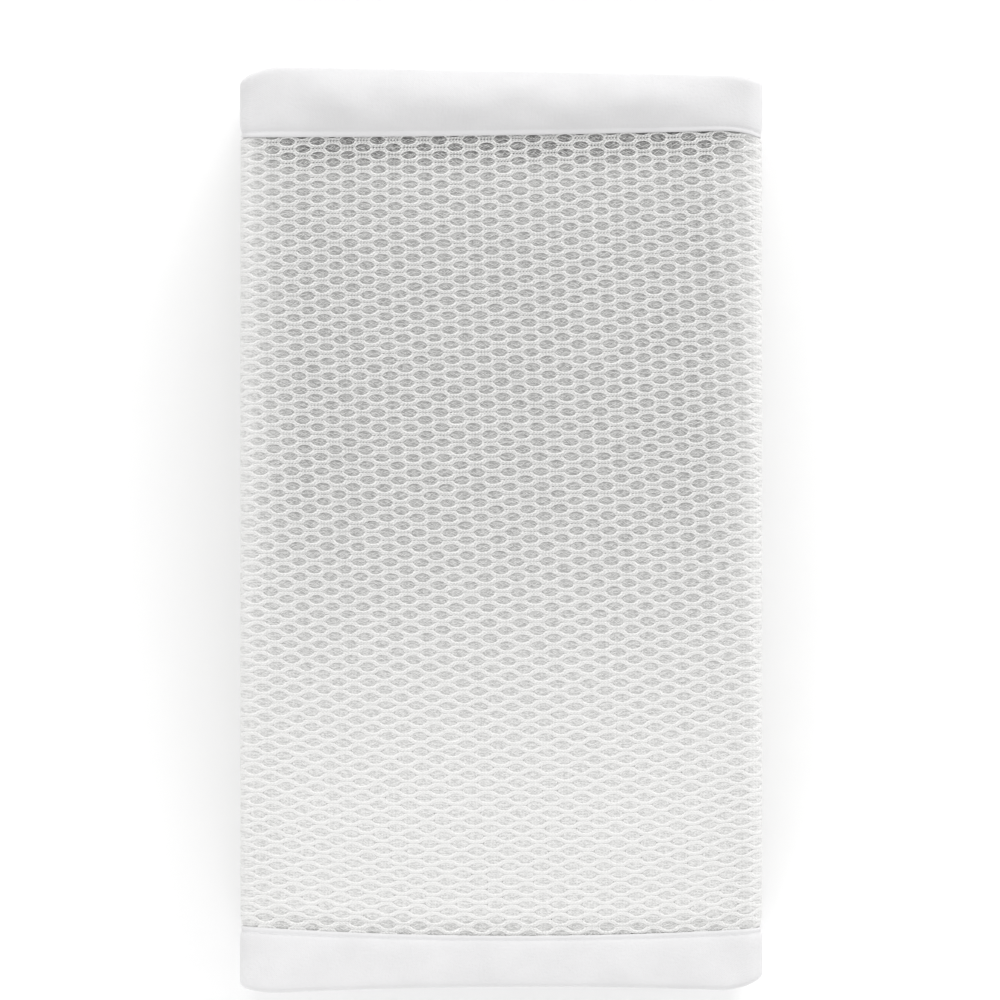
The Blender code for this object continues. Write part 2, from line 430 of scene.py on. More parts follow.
def mesh_thickness(y, least=EDGE_THICK / MESH_THICK):
    """The share of the mesh's full thickness that is left across the panel."""
    field_end = np.where(y > 0, FIELD_END, LOW_FIELD_END)
    return 1 - (1 - least) * ramp(np.abs(y), field_end, TAPER_END)


# --- Meshes from arrays --------------------------------------------------------------


def make_piece(name, points, faces, unrolled, flat, rounded=None, **shades):
    """A mesh. Points is (n, 3); faces is a list of (m, corners) index arrays; unrolled
    holds each corner's place in a unit square without overlaps; flat is each point's
    place on the flat cloth in metres; rounded tells which faces are smooth, or all
    are; each shade is one number a point."""
    corners = np.concatenate([group.ravel() for group in faces])
    sizes = np.concatenate([np.full(len(group), group.shape[1]) for group in faces])
    data = bpy.data.meshes.new(name)
    data.vertices.add(len(points))
    data.vertices.foreach_set("co", points.astype(np.float32).ravel())
    data.loops.add(len(corners))
    data.loops.foreach_set("vertex_index", corners.astype(np.int32))
    data.polygons.add(len(sizes))
    starts = np.concatenate(([0], np.cumsum(sizes)[:-1]))
    data.polygons.foreach_set("loop_start", starts.astype(np.int32))
    data.update(calc_edges=True)
    maps = {"OFBake": np.concatenate(unrolled), "Cloth": flat[corners]}
    for map_name, places in maps.items():
        layer = data.uv_layers.new(name=map_name)
        layer.data.foreach_set("uv", places.astype(np.float32).ravel())
    for shade, values in shades.items():
        attribute = data.attributes.new(shade, "FLOAT", "POINT")
        attribute.data.foreach_set("value", values.astype(np.float32))
    smooth = np.ones(len(sizes), dtype=bool) if rounded is None else rounded
    data.polygons.foreach_set("use_smooth", smooth)
    piece = bpy.data.objects.new(name, data)
    bpy.context.scene.collection.objects.link(piece)
    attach(piece, "root")
    return piece


def tube_faces(count, rings, around):
    """The side faces of several tubes whose points lie ring after ring."""
    tube, ring, spot = np.meshgrid(
        np.arange(count), np.arange(rings - 1), np.arange(around), indexing="ij"
    )
    here = (tube * rings + ring) * around
    beside = (spot + 1) % around
    return np.stack(
        (here + spot, here + around + spot, here + around + beside, here + beside),
        axis=-1,
    ).reshape(-1, 4)


def tube_map(count, along, across):
    """The side faces' corners in a unit square, one band a tube. Along holds each
    ring's place from 0 to 1, and across each spot's and that of the loop's end."""
    tube, ring, spot = np.meshgrid(
        np.arange(count), np.arange(len(along) - 1), np.arange(len(across) - 1), indexing="ij"
    )
    u = np.stack((along[ring], along[ring + 1], along[ring + 1], along[ring]), axis=-1)
    v = np.stack((across[spot], across[spot], across[spot + 1], across[spot + 1]), axis=-1)
    return np.stack((u, (tube[..., None] + v) / count), axis=-1).reshape(-1, 2)


def cap_faces(count, rings, around):
    """One face over each end of several tubes."""
    starts = np.arange(count)[:, None] * rings * around
    loop = np.arange(around)[None, :]
    ends = starts + (rings - 1) * around
    return np.concatenate((starts + loop, ends + loop[:, ::-1]))


def cap_map(count, around):
    """The end faces' corners, in the margins above the tubes' bands."""
    angle = np.arange(around) * 2 * np.pi / around
    u = CAP_CENTRE[0] + CAP_RADII[0] * np.cos(angle)
    v = CAP_CENTRE[1] + CAP_RADII[1] * np.sin(angle)
    tube = np.arange(count)[:, None]
    first = np.stack(np.broadcast_arrays(u, (tube + v) / count), axis=-1)
    last = first[:, ::-1] + (NEXT_END, 0.0)
    return np.concatenate((first, last)).reshape(-1, 2)


def closed_tubes(count, rings, around, ends=TUBE_ENDS):
    """The faces of several tubes with closed ends, and their places in the map."""
    along = np.linspace(*ends, rings)
    across = np.linspace(0.0, SIDES_END, around + 1)
    faces = [tube_faces(count, rings, around), cap_faces(count, rings, around)]
    return faces, [tube_map(count, along, across), cap_map(count, around)]


def shown_places():
    """Each station's place from 0 to 1 along a map that gives most room to what shows:
    the top pass, the folds and the lowest pass."""
    middle = (PATH_LENGTHS[1:] + PATH_LENGTHS[:-1]) / 2
    shown = (middle > TURNS[0].start) & (middle < TURNS[1].end)
    shown |= middle > TURNS[-1].start
    for turn in TURNS:
        shown |= (middle > turn.start) & (middle < turn.end)
    room = np.where(shown, 1.0, HIDDEN_ROOM) * np.diff(PATH_LENGTHS)
    places = np.concatenate(([0.0], np.cumsum(room)))
    return places / places[-1]


def swept_sheet(outer, inner, outer_room, loft):
    """A closed sheet along the whole path. Outer and inner are (ribs, 2) arrays of a
    place across the panel and a height over the cloth's middle, in pairs; outer_room
    is the outer side's share of the map; loft adds to the outer side's height."""
    outline = np.concatenate((outer, inner[::-1]))
    around, ribs, rings = len(outline), len(outer), len(PATH_LENGTHS)
    length, y = np.meshgrid(PATH_LENGTHS, outline[:, 0], indexing="ij")
    lift = np.broadcast_to(outline[:, 1], length.shape)
    raised = np.arange(around) < ribs
    points = laid(length, y, lift + raised * loft(length, y, lift)).reshape(-1, 3)
    flat = np.stack((length, y), axis=-1).reshape(-1, 2)
    rib = np.arange(ribs - 1)
    strip = np.stack((rib, rib + 1, around - 2 - rib, around - 1 - rib), axis=-1)
    end = strip[:, ::-1] + (rings - 1) * around
    steps = np.linalg.norm(np.diff(outer, axis=0), axis=1)
    outer_places = np.concatenate(([0.0], np.cumsum(steps))) / steps.sum() * outer_room
    inner_places = np.linspace(outer_room + SIDES_GAP, INNER_END, ribs)
    across = np.concatenate((outer_places, inner_places, [SIDES_END]))
    left, right = rib / ribs, (rib + SHEET_END_SHARE) / ribs
    low, high = np.full(ribs - 1, SHEET_END_LOW), np.full(ribs - 1, SHEET_END_HIGH)
    square = np.stack((left, low, right, low, right, high, left, high), axis=-1)
    ends = square.reshape(-1, 2)
    unrolled = [tube_map(1, shown_places(), across), ends, ends + (0.0, NEXT_END)]
    faces = [tube_faces(1, rings, around), strip, end]
    return points, faces, unrolled, flat


# --- The back layer ------------------------------------------------------------------


def back_loft(length, y, lift):
    """How far the back layer's inner side lies over the cloth's middle: it comes closer
    to the net where the mesh is less open."""
    share = np.clip(openness(length, y), 0.0, 1.0)
    height = BACK_INSIDE_CLOSED + share * (BACK_INSIDE_OPEN - BACK_INSIDE_CLOSED)
    return height * mesh_thickness(y, NET_LEAST) * MESH_THICK / 2


def make_back():
    upper = np.concatenate([np.linspace(*ribs) for ribs in BACK_RIBS])
    y = np.concatenate((-upper[:0:-1], upper))
    half = mesh_thickness(y) * MESH_THICK / 2
    outer = np.stack((y, np.zeros(len(y))), axis=-1)
    inner = np.stack((y, half * BACK_OUTSIDE), axis=-1)
    points, faces, unrolled, flat = swept_sheet(outer, inner, BACK_ROOM, back_loft)
    # 0 on the side seen through the holes, which gets the painted shade, and 1 outside
    tone = np.tile(np.repeat((0.0, 1.0), len(y)), len(PATH_LENGTHS))
    piece = make_piece(
        "mesh_back", points, faces, unrolled, flat, tone=tone, open=openness(*flat.T)
    )
    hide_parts("mesh_panel")
    return piece


# --- The net -------------------------------------------------------------------------


def row_places():
    """Where the rows of holes lie across the flat panel, from the top one down."""
    rows = [FIRST_ROW]
    while rows[0] < NET_EDGE:
        rows.insert(0, rows[0] + ROW_PITCH_TOP)
    while rows[-1] > -NET_EDGE:
        share = (FIRST_ROW - rows[-1]) / (2 * FIRST_ROW)
        pitch = ROW_PITCH_TOP + share * (ROW_PITCH_BOTTOM - ROW_PITCH_TOP)
        rows.append(rows[-1] - pitch)
    return np.array(rows)


ROWS = row_places()
FIRST_ROW_PARITY = int(np.argmin(np.abs(ROWS - FIRST_ROW))) % 2
DRIFT_RESTS = [drift.rest for drift in DRIFTS]
DRIFTS_ALONG = np.array([drift.along for drift in DRIFTS])
DRIFTS_ACROSS = np.array([drift.across for drift in DRIFTS])


def hole_half_heights(row, steps, chance, detail):
    """Half the height of the holes in a row of the net, and how far a pore is open in
    the bonds between them, from 0 to 1, at each step along it."""
    shift = detail.repeat // 2 if row % 2 != FIRST_ROW_PARITY else 0
    place = steps - shift
    hole = np.floor(place / detail.repeat + 0.5).astype(int)
    offset = place - hole * detail.repeat
    size = 1 + HOLE_SPREAD * chance[row, hole % chance.shape[1]]
    share = np.abs(offset) / detail.half_hole
    lens = HOLE_HALF_HEIGHT * size * np.maximum(1 - share**2, 0.0) ** HOLE_POWER
    reach = HOLE_START + steps * HOLE_PITCH / detail.repeat
    x = reach + COLUMN_LEAN * (FIRST_ROW - ROWS[row])
    pore = ramp(openness(TOP_MIDDLE + x, ROWS[row]), *PORES_FADE)
    return lens, np.where((share > PORES_BEYOND) & (offset % 2 == 1), pore, 0.0)


def place_along(reach):
    """The place along the top pass for a place along the net's even repeats."""
    even = np.linspace(-PANEL_LENGTH, PANEL_LENGTH, STRETCH_SAMPLES)
    stretched = even - MIDDLE_STRETCH * np.sin(np.pi * even / HALF_REACH)
    return np.interp(reach, stretched, even)


def drift_between(values, x, y):
    """A drift between the lines of the table, from its three values on each line."""
    left, middle, right = (np.interp(y, DRIFT_RESTS, column) * MM for column in values.T)
    share = np.clip(x / HALF_REACH, -DRIFT_REACH, DRIFT_REACH)
    return middle + share * (right - left) / 2 + share**2 * ((right + left) / 2 - middle)


def wave_height(form, x, y):
    return form.height * np.sin(x / form.along + y / form.across)


def net_place(reach, y):
    """The place along the top pass and across the panel for a point of the true net."""
    x = place_along(reach + COLUMN_LEAN * (FIRST_ROW - y))
    near = np.clip((x - RIGHT_RISE_FROM) / (HALF_REACH - RIGHT_RISE_FROM), 0, 1)
    rise = RIGHT_RISE * near * near * (1 - ramp(y, *RIGHT_RISE_FADE))
    waves = sum(wave_height(form, x, y) for form in NET_WAVES)
    ripple = math.prod(wave_height(form, x, y) for form in NET_RIPPLES)
    across = drift_between(DRIFTS_ACROSS, x, y) + rise + waves + ripple
    return x + drift_between(DRIFTS_ALONG, x, y), y + across


def edge_values(lens, pore, hole_value, bond_value, pore_value):
    """The value at a chain's edge, which goes from the bond's to the hole's in the
    hole's pointed ends."""
    share = np.clip(lens / HOLE_HALF_HEIGHT, 0.0, 1.0)
    value = bond_value + share * (hole_value - bond_value)
    return value + pore * (pore_value - value)


def chain_section(row, steps, chance, detail):
    """A chain between two rows of holes: for each step five places across its top,
    from its lower edge to its upper one, and one below, with heights and tones of painted shade."""
    lens_below, pore_below = hole_half_heights(row + 1, steps, chance, detail)
    lens_above, pore_above = hole_half_heights(row, steps, chance, detail)
    low, high = ROWS[row + 1] + lens_below, ROWS[row] - lens_above
    waver = CORD_WAVER * chance[row, steps % chance.shape[1]]
    middle = (low + high) / 2 + waver
    y = (
        low + edge_values(lens_below, pore_below, 0.0, -BOND_OVERLAP, PORE_HALF_HEIGHT),
        middle - CORD_OFFSET,
        middle,
        middle + CORD_OFFSET,
        high - edge_values(lens_above, pore_above, 0.0, -BOND_OVERLAP, PORE_HALF_HEIGHT),
        middle,
    )
    odds = chance[row, (BEAD_STRIDE * steps) % chance.shape[1]]
    bead = CORD_BEAD * (steps % 2 + BEAD_CHANCE * odds)
    hole_below, hole_above = (
        np.clip(2 * lens / HOLE_HALF_HEIGHT, 0.0, 1.0) for lens in (lens_below, lens_above)
    )
    places = (CORD, DULL_CORD, DIP, KEEL, HOLE_EDGE, BOND_EDGE, PORE_EDGE)
    values = []
    for cord, dull, dip, keel, hole, bond, pore_edge in zip(*places):
        across = (
            edge_values(lens_below, pore_below, hole, bond, pore_edge),
            dull + hole_below * (cord - dull) - bead,
            np.full(len(steps), dip),
            dull + hole_above * (cord - dull) - CORD_BEAD + bead,
            edge_values(lens_above, pore_above, hole, bond, pore_edge),
            np.full(len(steps), keel),
        )
        values.append(np.stack(across, axis=-1))
    return np.stack(y, axis=-1), *values


def make_net(name, chains, spans, chance, detail):
    """The chains between the given rows, along the given stretches of the panel."""
    points, flats, tones, shares, faces, unrolled, rounded = [], [], [], [], [], [], []
    total = 0
    step_length = HOLE_PITCH / detail.repeat
    lean = COLUMN_LEAN * (FIRST_ROW - ROWS[chains])
    for index, span in enumerate(spans):
        first = np.floor((span.start - TOP_MIDDLE - HOLE_START - lean) / step_length)
        count = math.ceil((span.end - span.start) / step_length) + 1
        steps = first[:, None].astype(int) + np.arange(count)
        reach = HOLE_START + steps * step_length
        sections = [chain_section(*chain, chance, detail) for chain in zip(chains, steps)]
        y, height, tone = (np.stack(values) for values in zip(*sections))
        x, place = net_place(reach[:, :, None], y)
        open_share = openness(TOP_MIDDLE + x, place)
        height = 1 - (1 - height) * (RELIEF_LEAST + (1 - RELIEF_LEAST) * open_share)
        half = mesh_thickness(place, NET_LEAST) * MESH_THICK / 2
        points.append(laid(TOP_MIDDLE + x, place, half * height).reshape(-1, 3))
        across = y - y[:, :, 2:3]
        flats.append(np.stack((TOP_MIDDLE + x, across), axis=-1).reshape(-1, 2))
        tones.append(tone.ravel())
        shares.append(open_share.ravel())
        count, rings, around = y.shape
        span_faces, span_places = closed_tubes(count, rings, around)
        cell = np.array([1 / len(spans), 1.0])
        corner = np.array([index / len(spans), 0.0])
        faces += [group + total for group in span_faces]
        unrolled += [corner + cell * places for places in span_places]
        # The top of a chain is rounded, and its two sides below are flat.
        rounded.append(np.tile(np.arange(around) < around - 2, count * (rings - 1)))
        rounded.append(np.zeros(2 * count, dtype=bool))
        total += y.size
    # The tone is painted shade, and the openness sets how dark the material paints it.
    shades = {"tone": np.concatenate(tones), "open": np.concatenate(shares)}
    points, flat, rounded = (np.concatenate(parts) for parts in (points, flats, rounded))
    piece = make_piece(name, points, faces, unrolled, flat, rounded, **shades)
    return piece


def make_nets():
    generator = np.random.default_rng(NET_SEED)
    chance = generator.uniform(-1.0, 1.0, (len(ROWS), CHANCES_PER_ROW))
    rows = np.arange(len(ROWS) - 1)
    top = Span(TURNS[0].start - FINE.run_on, TURNS[1].end + FINE.run_on, 1)
    pieces = []
    for first in range(0, len(rows), CHAINS_PER_PIECE):
        chains = rows[first : first + CHAINS_PER_PIECE]
        name = f"net_top_{first // CHAINS_PER_PIECE + 1}"
        pieces.append(make_net(name, chains, [top], chance, FINE))
    lower = [turn for turn in TURNS[2:] if turn.face == 1]
    spans = [Span(turn.start - COARSE.run_on, turn.end + COARSE.run_on, 1) for turn in lower]
    half = len(rows) // 2
    pieces.append(make_net("net_folds_1", rows[:half], spans, chance, COARSE))
    pieces.append(make_net("net_folds_2", rows[half:], spans, chance, COARSE))
    return pieces


def make_spacers():
    """Slanting yarns between the back layer and the net, seen through the holes."""
    generator = np.random.default_rng(YARN_SEED)
    reach_holes = round(HALF_REACH / HOLE_PITCH)
    row, hole, thread = np.meshgrid(
        np.arange(1, len(ROWS) - 1),
        np.arange(-reach_holes, reach_holes + 1),
        np.arange(YARNS_PER_HOLE),
        indexing="ij",
    )
    row, hole, thread = row.ravel(), hole.ravel(), thread.ravel()
    hole = hole - np.round(COLUMN_LEAN * (FIRST_ROW - ROWS[row]) / HOLE_PITCH)
    shift = np.where(row % 2 != FIRST_ROW_PARITY, 0.5, 0.0)
    jitter = generator.uniform(-YARN_JITTER, YARN_JITTER, row.size)
    spread = (thread + 0.5) / YARNS_PER_HOLE - 0.5 + jitter
    middle_x = HOLE_START + (hole + shift + YARN_SPREAD * spread) * HOLE_PITCH
    jitter = generator.uniform(-YARN_JITTER_ACROSS, YARN_JITTER_ACROSS, row.size)
    middle_y = ROWS[row] + jitter
    run = generator.uniform(*YARN_RUN, row.size) * generator.choice((-1, 1), row.size)
    rise = generator.uniform(*YARN_RISE, row.size) * generator.choice((-1, 1), row.size)
    angle = np.arange(YARN_SIDES) * 2 * np.pi / YARN_SIDES
    ends = []
    for end in (-0.5, 0.5):
        x = (middle_x + end * run)[:, None]
        y = (middle_y + end * rise)[:, None] + YARN_RADIUS * np.cos(angle)
        x, y = net_place(x, y)
        floor = back_loft(TOP_MIDDLE + x, y, 0.0)
        room = mesh_thickness(y, NET_LEAST) * MESH_THICK / 2 - floor
        climb = YARN_CLIMB * room * (end + 0.5)
        sunk = YARN_SUNK * (1 - openness(TOP_MIDDLE + x, y))
        lift = floor + climb + YARN_RADIUS * (np.sin(angle) - sunk)
        ends.append(laid(TOP_MIDDLE + x, y, lift))
    points = np.stack(ends, axis=1)
    faces, unrolled = closed_tubes(*points.shape[:3], YARN_ENDS)
    points = points.reshape(-1, 3)
    piece = make_piece("spacer_yarns", points, faces, unrolled, points[:, :2])
    return piece


# --- The bindings --------------------------------------------------------------------


def binding_loft(side):
    """The swell and the soft waves of a binding's cloth on the top pass."""

    def loft(length, y, lift):
        first, last = TURNS[0].end, TURNS[1].start
        arrive = ramp(length, first - LOFT_BEFORE, first + LOFT_AFTER)
        leave = ramp(length, last - LOFT_AFTER, last + LOFT_BEFORE)
        inner = PANEL_WIDTH / 2 - BINDING_WIDTH
        room = PANEL_WIDTH / 2 - inner - LOFT_MARGIN
        share = np.clip((np.abs(y) - inner) / room, 0.0, 1.0)
        swell = np.sin(np.pi * share**BINDING_PEAK)
        slants = np.sin((length + SLANT_LEAN * np.abs(y)) / SLANT_LENGTH)
        patches = np.sin(length / PATCH_ALONG + PATCH_START) * np.sin(y / PATCH_ACROSS)
        crossing = np.sin(length / CROSS_ALONG - y / CROSS_ACROSS)
        waves = slants + patches + CROSS_SHARE * crossing
        height = BINDING_LOFT[side] + BINDING_WAVE[side] * waves
        return (lift > 0) * arrive * (1 - leave) * swell * height

    return loft


def binding_height(depth):
    """The binding's surface over the cloth's middle, for a depth from its inner edge."""
    groove = SEAM_DEPTH * np.exp(-(((depth - SEAM_INSET) / SEAM_HALF_WIDTH) ** 2))
    sink = ROOT_SINK * ramp(depth, ROOT_SINK_FROM, ROOT_SINK_TO)
    return BINDING_THICK / 2 - groove - sink


def binding_profile(side):
    """The outer and inner ribs of a U that holds the panel's edge."""
    outside, inside = BINDING_THICK / 2, BINDING_INSIDE
    root, edge = PANEL_WIDTH / 2 - BINDING_WIDTH, PANEL_WIDTH / 2
    depth = np.array(BINDING_RIBS) * MM
    round_off = np.maximum(EDGE_ROUND - depth, 0.0)
    lowered = EDGE_ROUND - np.sqrt(EDGE_ROUND**2 - round_off**2)
    upper = np.stack((root + depth, binding_height(depth) - lowered), axis=-1)
    upper_inside = np.stack((root + depth, np.full(len(depth), inside)), axis=-1)
    angle = np.linspace(math.pi / 2, -math.pi / 2, 2 * NOSE_STEPS + 1)
    centre = edge - outside
    arc = np.stack((np.cos(angle), np.sin(angle)), axis=-1)
    nose = np.array([centre, 0.0]) + outside * arc
    nose_inside = np.array([centre, 0.0]) + inside * arc
    flipped = np.array([1.0, -1.0])
    outer = np.concatenate((upper, nose, upper[::-1] * flipped))
    inner = np.concatenate((upper_inside, nose_inside, upper_inside[::-1] * flipped))
    mirror = np.array([side, 1.0])
    return outer * mirror, inner * mirror


def make_binding(name, side):
    outer, inner = binding_profile(side)
    if side < 0:
        outer, inner = outer[::-1], inner[::-1]
    points, faces, unrolled, flat = swept_sheet(outer, inner, BINDING_ROOM, binding_loft(side))
    piece = make_piece(name + "_cloth", points, faces, unrolled, flat)
    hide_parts(name)
    return piece


def make_stitches(name, side):
    """The top-stitching of one binding, wherever it shows."""
    spans = [Span(TURNS[0].start, TURNS[1].end, 1), *TURNS[2:]]
    spans.append(Span(TURNS[-1].end, PANEL_LENGTH, -1))
    starts, faces_up = [], []
    for span in spans:
        places = np.arange(span.start, span.end, STITCH_PITCH)
        starts.append(places)
        faces_up.append(np.full(len(places), span.face))
    starts, faces_up = np.concatenate(starts), np.concatenate(faces_up)
    share, fullness = np.array(STITCH_SHAPE).T
    angle = np.arange(STITCH_SIDES) * 2 * np.pi / STITCH_SIDES
    radius = STITCH_RADIUS * fullness[None, :, None]
    face = faces_up[:, None, None]
    level = binding_height(SEAM_INSET) + STITCH_LIFT * STITCH_RADIUS
    seam = PANEL_WIDTH / 2 - BINDING_WIDTH + SEAM_INSET
    length = starts[:, None, None] + STITCH_LENGTH * share[None, :, None]
    y = side * seam + face * radius * np.cos(angle)
    lift = face * level + radius * np.sin(angle)
    length = np.broadcast_to(length, y.shape)
    points = laid(length, y, lift)
    faces, unrolled = closed_tubes(*y.shape)
    flat = np.stack((length, y), axis=-1).reshape(-1, 2)
    piece = make_piece(name, points.reshape(-1, 3), faces, unrolled, flat)
    return piece


# --- The look ------------------------------------------------------------------------

# Greys of the yarns that lie deep and of those at the surface, where the mesh looks
# closed and where it looks open. On the net these greys are painted shade: darker where
# the yarns lie deeper, with more spread between them where the mesh looks open.
NET_SHADED_CLOSED, NET_SHADED_OPEN = 0.71, 0.43
NET_PALE_CLOSED, NET_PALE_OPEN = 0.79, 0.99
# The back layer's inner side, seen through the holes, is painted shade: its greys stand for the shade
# deep in the holes, darker where the mesh looks open
BACK_SHADED_DARK_CLOSED, BACK_SHADED_DARK_OPEN = 0.65, 0.15
BACK_SHADED_LIGHT_CLOSED, BACK_SHADED_LIGHT_OPEN = 0.79, 0.39
OUTSIDE_DEEP, OUTSIDE_PALE = 0.62, 0.84
BINDING_DARK, BINDING_LIGHT = 0.69, 0.73
YARN_TINT = (1.0, 0.996, 0.984, 1.0)
BINDING_TINT = (0.995, 0.990, 1.0, 1.0)
CLOUDS = (0.3, 0.7)  # what counts as a noise's least and its most

# The net's loops: their lean away from a chain's middle, the fuzz on them, and how
# much of the bump is left where the mesh looks closed
LOOP_PITCH = 0.00094
LOOP_SHADE = 0.20
LOOP_LEAN = 1.2
FUZZ_SIZE = 0.0007
NET_BUMP = 0.00006
BUMP_LEAST = 0.3
BUMP_OPEN = (0.1, 0.6)

# The back layer's knit, and the streaks and dark pores in the painted shade on its inner side
KNIT_PITCH = 0.0009
KNIT_SWAY = 0.0002
KNIT_SHADES = (-0.9, 0.2)
KNIT_BUMP = 0.00008
STREAK_SIZE = 0.0016
STREAK_TURN = 0.6
STREAK_STRETCH = 3.2
STREAK_EDGES = (0.40, 0.56)
PORE_PITCH = 0.0011
PORE_STRAY = 0.8
PORE_EDGES = (0.12, 0.30)

# The binding's nap, its knit and the soft clouds in its grey
NAP_SIZE = 0.0009
NAP_DETAIL = 4.0
RIB_PITCH = 0.0007
COURSE_PITCH = 0.0006
BINDING_KNIT = 0.15  # against the nap
BINDING_BUMP = 0.00015
CLOUD_SIZE = 0.012
CLOUD_DETAIL = 3.0

MIX_COLORS = (6, 7)  # the mix node's sockets for its two colours

Plain = namedtuple("Plain", "name color roughness")
SPACER_YARN = Plain(name="spacer_yarn", color=(0.86, 0.86, 0.85, 1.0), roughness=0.6)
SEWING_THREAD = Plain(name="sewing_thread", color=(0.74, 0.74, 0.75, 1.0), roughness=0.5)
FLOOR_PAINT = Plain(name="floor_paint", color=(0.97, 0.97, 0.97, 1.0), roughness=0.9)


def node(tree, kind, inputs=(), **settings):
    """A shader node with its settings, its input values and its links."""
    made = tree.nodes.new(kind)
    for key, value in settings.items():
        setattr(made, key, value)
    for key, value in dict(inputs).items():
        if isinstance(value, bpy.types.NodeSocket):
            tree.links.new(value, made.inputs[key])
        else:
            made.inputs[key].default_value = value
    return made


def math_node(tree, operation, *values):
    return node(tree, "ShaderNodeMath", enumerate(values), operation=operation).outputs[0]


def new_material(name, roughness, sheen=0.0):
    material = bpy.data.materials.new(name)
    material.use_nodes = True
    tree = material.node_tree
    shader = tree.nodes["Principled BSDF"]
    shader.inputs["Roughness"].default_value = roughness
    shader.inputs["Sheen Weight"].default_value = sheen
    return material, tree, shader


def plain_material(name, color, roughness):
    material, tree, shader = new_material(name, roughness)
    shader.inputs["Base Color"].default_value = color
    return material


def blend(tree, share, first, second, tint=YARN_TINT):
    """A colour between two, each given as a grey that is tinted or as a socket."""
    inputs = {0: share}
    for key, value in zip(MIX_COLORS, (first, second)):
        color = [value * part for part in tint] if isinstance(value, float) else value
        inputs[key] = color
    return node(tree, "ShaderNodeMix", inputs, data_type="RGBA").outputs[2]


def cloth_place(tree):
    """The place on the flat cloth in metres: the vector, and the parts along and
    across."""
    place = node(tree, "ShaderNodeUVMap", uv_map="Cloth").outputs[0]
    parts = node(tree, "ShaderNodeSeparateXYZ", {0: place}).outputs
    return place, parts[0], parts[1]


def remap(tree, value, low, high, to_low=0.0, to_high=1.0):
    inputs = {0: value, 1: low, 2: high, 3: to_low, 4: to_high}
    return node(tree, "ShaderNodeMapRange", inputs).outputs[0]


def wave(tree, value, pitch):
    return math_node(tree, "SINE", math_node(tree, "MULTIPLY", value, 2 * math.pi / pitch))


def noise(tree, place, size, detail=2.0):
    inputs = {"Vector": place, "Scale": 1 / size, "Detail": detail}
    return node(tree, "ShaderNodeTexNoise", inputs).outputs[0]


def add_bump(tree, shader, height, distance):
    inputs = {"Height": height, "Distance": distance, "Strength": 1.0}
    bump = node(tree, "ShaderNodeBump", inputs).outputs[0]
    tree.links.new(bump, shader.inputs["Normal"])


def shade_of(tree, name):
    return node(tree, "ShaderNodeAttribute", attribute_name=name).outputs["Fac"]


def net_material():
    """Loops in a herringbone along each chain, shallower where the mesh looks closed,
    and painted shade: greyer where the yarns lie deeper, with more spread where the mesh
    looks open."""
    material, tree, shader = new_material("net_yarn", roughness=0.7, sheen=0.1)
    place, along, across = cloth_place(tree)
    lean = math_node(tree, "MULTIPLY", math_node(tree, "ABSOLUTE", across), LOOP_LEAN)
    loops = wave(tree, math_node(tree, "ADD", along, lean), LOOP_PITCH)
    fuzz = remap(tree, noise(tree, place, FUZZ_SIZE), *CLOUDS, -1.0, 1.0)
    texture = math_node(tree, "ADD", loops, fuzz)
    open_share = shade_of(tree, "open")
    depth = remap(tree, open_share, *BUMP_OPEN, BUMP_LEAST)
    add_bump(tree, shader, math_node(tree, "MULTIPLY", texture, depth), NET_BUMP)
    shade = math_node(tree, "MULTIPLY_ADD", texture, LOOP_SHADE, shade_of(tree, "tone"))
    # Painted shade, between the grey of deep yarns and that of the surface
    shaded_grey = blend(tree, open_share, NET_SHADED_CLOSED, NET_SHADED_OPEN)
    pale = blend(tree, open_share, NET_PALE_CLOSED, NET_PALE_OPEN)
    color = blend(tree, shade, shaded_grey, pale)
    tree.links.new(color, shader.inputs["Base Color"])
    return material


def back_material():
    """A fine knit. Outside its rows show; inside it is painted shade, darker where the
    mesh looks open, and crossed by streaks and dark pores.
    """
    material, tree, shader = new_material("mesh_back_knit", roughness=0.8, sheen=0.1)
    place, along, across = cloth_place(tree)
    rows = wave(tree, across, KNIT_PITCH)
    lean = math_node(tree, "ADD", along, math_node(tree, "MULTIPLY", rows, KNIT_SWAY))
    loops = math_node(tree, "MULTIPLY", wave(tree, lean, KNIT_PITCH), 0.5)
    knit = math_node(tree, "ADD", loops, math_node(tree, "MULTIPLY", rows, 0.5))
    outside = remap(tree, knit, *KNIT_SHADES)
    turned = {0: place, 2: (0, 0, STREAK_TURN), 3: (1.0, STREAK_STRETCH, 1.0)}
    stretched = node(tree, "ShaderNodeMapping", turned).outputs[0]
    streaks = remap(tree, noise(tree, stretched, STREAK_SIZE), *STREAK_EDGES)
    spread = {"Vector": place, "Scale": 1 / PORE_PITCH, "Randomness": PORE_STRAY}
    spots = node(tree, "ShaderNodeTexVoronoi", spread).outputs["Distance"]
    pores = remap(tree, spots, *PORE_EDGES)
    open_share = shade_of(tree, "open")
    # Painted shade inside, darker where the mesh looks open; streaks and dark pores vary it
    shaded_grey = blend(tree, open_share, BACK_SHADED_DARK_CLOSED, BACK_SHADED_DARK_OPEN)
    pale = blend(tree, open_share, BACK_SHADED_LIGHT_CLOSED, BACK_SHADED_LIGHT_OPEN)
    shade = math_node(tree, "MULTIPLY", streaks, pores)
    painted_inside = blend(tree, shade, shaded_grey, pale)
    outside_color = blend(tree, outside, OUTSIDE_DEEP, OUTSIDE_PALE)
    color = blend(tree, shade_of(tree, "tone"), painted_inside, outside_color)
    tree.links.new(color, shader.inputs["Base Color"])
    add_bump(tree, shader, knit, KNIT_BUMP)
    return material


